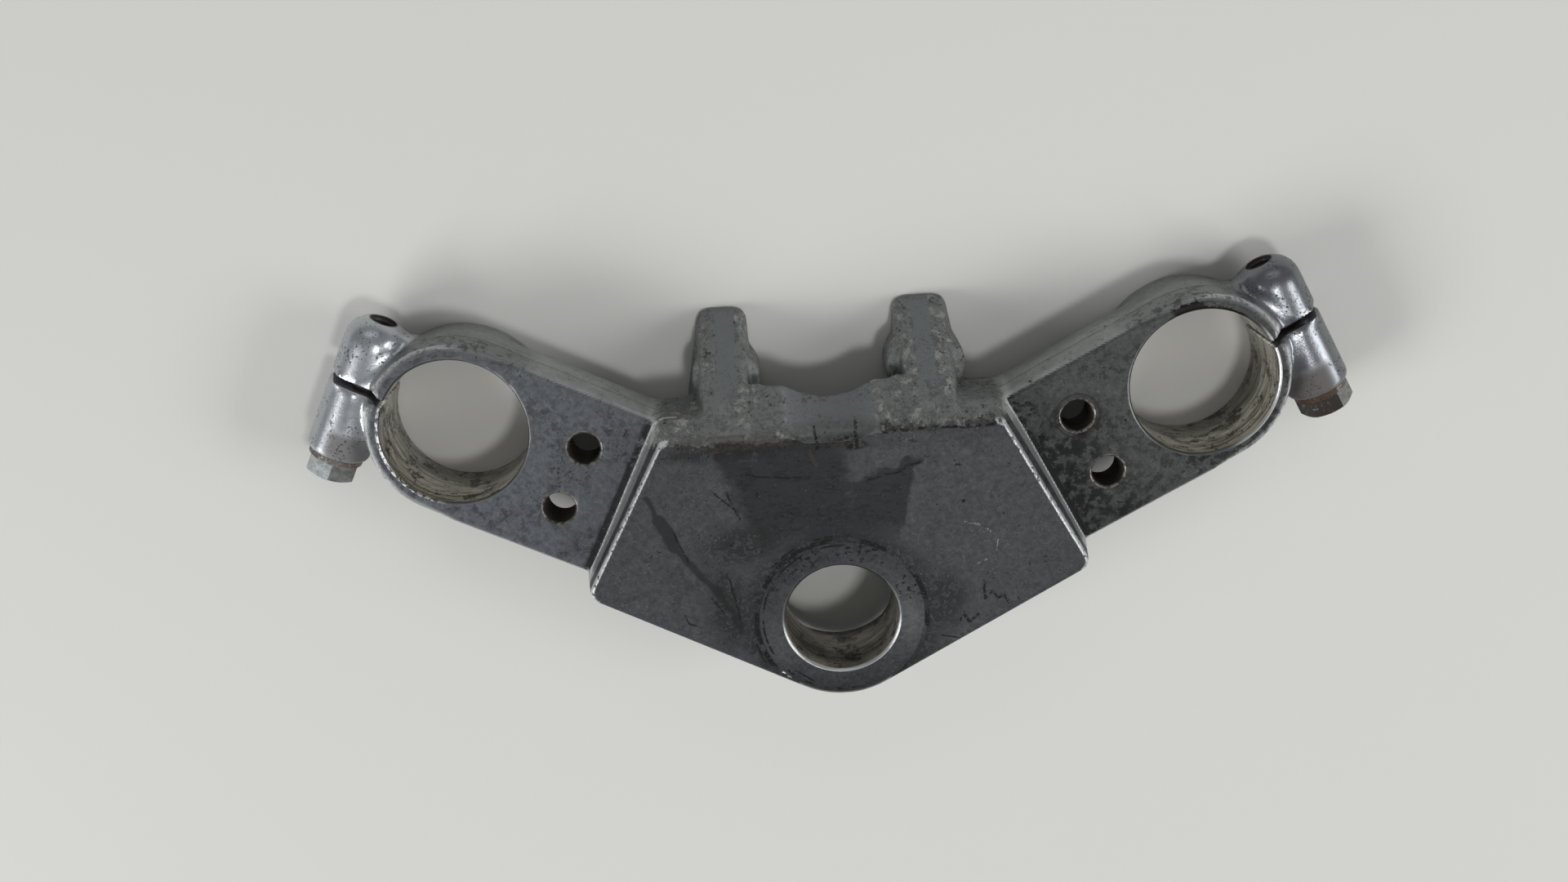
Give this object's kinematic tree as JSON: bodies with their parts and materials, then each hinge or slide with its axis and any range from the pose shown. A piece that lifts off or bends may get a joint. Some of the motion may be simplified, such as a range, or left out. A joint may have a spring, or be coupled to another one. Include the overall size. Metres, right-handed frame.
{
  "type": "motorcycle triple clamp",
  "caption": "Upper triple clamp in cast aluminium: slit fork rings with pinch bolts, sloping arms, raised deck with a stem bore, and forked legs for an ignition switch.",
  "frame": {"origin": "on the steering stem's axis, at the underside of the stem boss, which is the mid-plane of the fork rings", "axes": "+Z along the stem bore, up out of the deck; +Y to the front of the motorcycle, towards the fork rings and the legs; +X to the right in the picture"},
  "size_m": [0.2965, 0.1152, 0.034],
  "materials": {
    "casting": "cast, with worn silver-grey paint; bores machined bare",
    "bolt": "zinc plated, dull, with rust at the head",
    "washer": "zinc plated"
  },
  "bodies": {
    "root": {"clamp_casting": "casting", "pinch_bolt_left": "bolt", "pinch_bolt_right": "bolt", "washer_left": "washer", "washer_right": "washer"}
  },
  "joints": []
}
